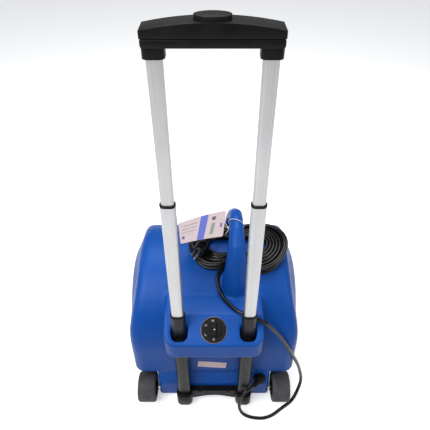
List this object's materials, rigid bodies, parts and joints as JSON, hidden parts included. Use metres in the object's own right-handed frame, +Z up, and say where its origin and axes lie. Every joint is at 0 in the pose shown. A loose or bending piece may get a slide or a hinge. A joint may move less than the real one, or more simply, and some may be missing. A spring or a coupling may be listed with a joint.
{
  "type": "air mover",
  "caption": "Centrifugal floor and carpet drying blower with a moulded drum housing, telescopic trolley handle, wheels, speed switch and a mains cord stored as a hank.",
  "frame": {"origin": "on the floor, under the centre of the box of the machine without its cord", "axes": "+Z up; +Y forwards, the way the air blows; +X to the right of a person standing behind the trolley handle"},
  "size_m": [0.4348, 0.4982, 0.9645],
  "materials": {
    "housing_blue": "satin rotomoulded polyethylene",
    "black_plastic": "fine-grained moulded nylon",
    "black_tube": "satin black powder coat",
    "silver_tube": "satin anodised",
    "grey_rubber": "matt moulded rubber",
    "cord_jacket": "semi-gloss extruded jacket",
    "bright_steel": "zinc plated",
    "motor_enamel": "semi-gloss enamel",
    "white_card": "printed card and label stock"
  },
  "bodies": {
    "housing": {"housing_left": "housing_blue", "housing_right": "housing_blue", "carry_handle": "housing_blue", "intake_grille_left": "black_plastic", "intake_grille_right": "black_plastic", "outlet_grille": "black_plastic", "motor_body": "motor_enamel", "motor_bracket": "bright_steel", "run_capacitor": "motor_enamel", "switch_plate": "black_plastic", "switch_body": "black_plastic", "cord_gland": "black_plastic", "mains_cord": "cord_jacket", "cord_hank": "cord_jacket", "plug_body": "cord_jacket", "plug_blade_line": "bright_steel", "plug_blade_neutral": "bright_steel", "plug_ground_pin": "bright_steel", "bottom_bracket": "black_plastic", "axle": "bright_steel", "rating_label": "white_card", "hang_tag": "white_card", "tag_string": "white_card", "outer_tube_left": "black_tube", "outer_tube_right": "black_tube", "guide_bush_left": "black_plastic", "guide_bush_right": "black_plastic", "axle_cap_left": "bright_steel", "axle_cap_right": "bright_steel", "front_foot_left": "grey_rubber", "front_foot_right": "grey_rubber", "bracket_screw_left": "bright_steel", "bracket_screw_right": "bright_steel", "grille_screw_top_left": "bright_steel", "grille_screw_top_right": "bright_steel", "grille_screw_bottom_left": "bright_steel", "grille_screw_bottom_right": "bright_steel"},
    "rotor": {"impeller": "black_plastic", "motor_shaft": "bright_steel"},
    "knob": {"switch_knob": "black_plastic"},
    "middle_stage": {"middle_tube_left": "silver_tube", "middle_tube_right": "silver_tube", "collar_left": "black_plastic", "collar_right": "black_plastic"},
    "upper_stage": {"upper_tube_left": "silver_tube", "upper_tube_right": "silver_tube", "grip_base": "black_plastic", "grip_cover": "black_plastic", "button_spring": "bright_steel", "grip_screw_left": "bright_steel", "grip_screw_right": "bright_steel"},
    "release_button": {"release_button": "black_plastic", "release_yoke": "black_plastic", "release_rod_left": "bright_steel", "release_rod_right": "bright_steel"},
    "wheel_left": {"tyre_left": "grey_rubber", "wheel_hub_left": "black_plastic"},
    "wheel_right": {"tyre_right": "grey_rubber", "wheel_hub_right": "black_plastic"}
  },
  "joints": [
    {"name": "fan_spin", "type": "hinge", "parent": "housing", "child": "rotor", "pos_m": [0, -0.004, 0.2], "axis": [1, 0, 0], "continuous": true},
    {"name": "speed_knob_turn", "type": "hinge", "parent": "housing", "child": "knob", "pos_m": [0, -0.209, 0.32114], "axis": [0, -0.5, 0.866], "range_deg": [-180, 0]},
    {"name": "middle_stage_slide", "type": "slide", "parent": "housing", "child": "middle_stage", "axis": [0, 0, 1], "range_m": [-0.288, 0]},
    {"name": "upper_stage_slide", "type": "slide", "parent": "middle_stage", "child": "upper_stage", "axis": [0, 0, 1], "range_m": [-0.236, 0]},
    {"name": "release_button_press", "type": "slide", "parent": "upper_stage", "child": "release_button", "axis": [0, 0, -1], "range_m": [0, 0.004], "stiffness_N_per_m": 500, "springref_m": -0.01, "deforming": ["button_spring"]},
    {"name": "wheel_left_spin", "type": "hinge", "parent": "housing", "child": "wheel_left", "pos_m": [-0.1725, -0.1875, 0.038], "axis": [1, 0, 0], "continuous": true},
    {"name": "wheel_right_spin", "type": "hinge", "parent": "housing", "child": "wheel_right", "pos_m": [0.1725, -0.1875, 0.038], "axis": [1, 0, 0], "continuous": true}
  ]
}
